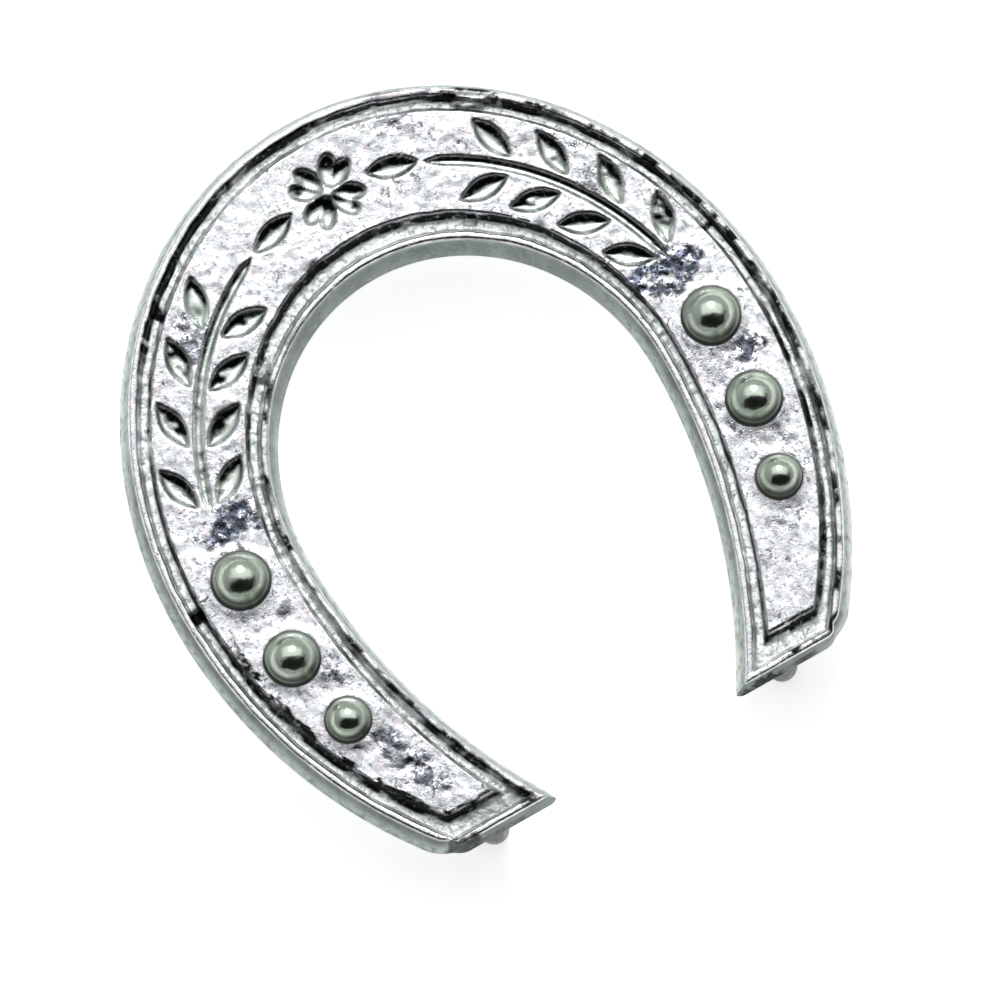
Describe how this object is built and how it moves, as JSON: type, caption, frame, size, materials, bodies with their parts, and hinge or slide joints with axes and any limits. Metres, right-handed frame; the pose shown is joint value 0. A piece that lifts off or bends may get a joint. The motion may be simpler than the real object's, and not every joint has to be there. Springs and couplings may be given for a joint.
{
  "type": "horseshoe emblem",
  "caption": "Small cast good-luck horseshoe emblem: lipped rim, sunk channel, raised engraved field, domed studs down both legs and round pegs on the back to fix it by.",
  "frame": {"origin": "under the middle of the shoe's bounding box, on the plane of the peg tips", "axes": "+Z out of the decorated face (up when the emblem lies on its pegs), +Y along the shoe from the open heels to the closed toe, +X across the shoe to the right when it is seen face up with the toe away"},
  "size_m": [0.0352, 0.037, 0.0078],
  "materials": {
    "cast_silver": "antiqued silver plating on a cast alloy, bright high parts, dark patina in the grooves",
    "stud_metal": "smooth darkened silver, glossy",
    "peg_metal": "as cast, dull"
  },
  "bodies": {
    "root": {"shoe_plate": "cast_silver", "left_stud_large": "stud_metal", "left_stud_medium": "stud_metal", "left_stud_small": "stud_metal", "right_stud_large": "stud_metal", "right_stud_medium": "stud_metal", "right_stud_small": "stud_metal", "left_heel_peg": "peg_metal", "right_heel_peg": "peg_metal", "toe_peg": "peg_metal"}
  },
  "joints": []
}
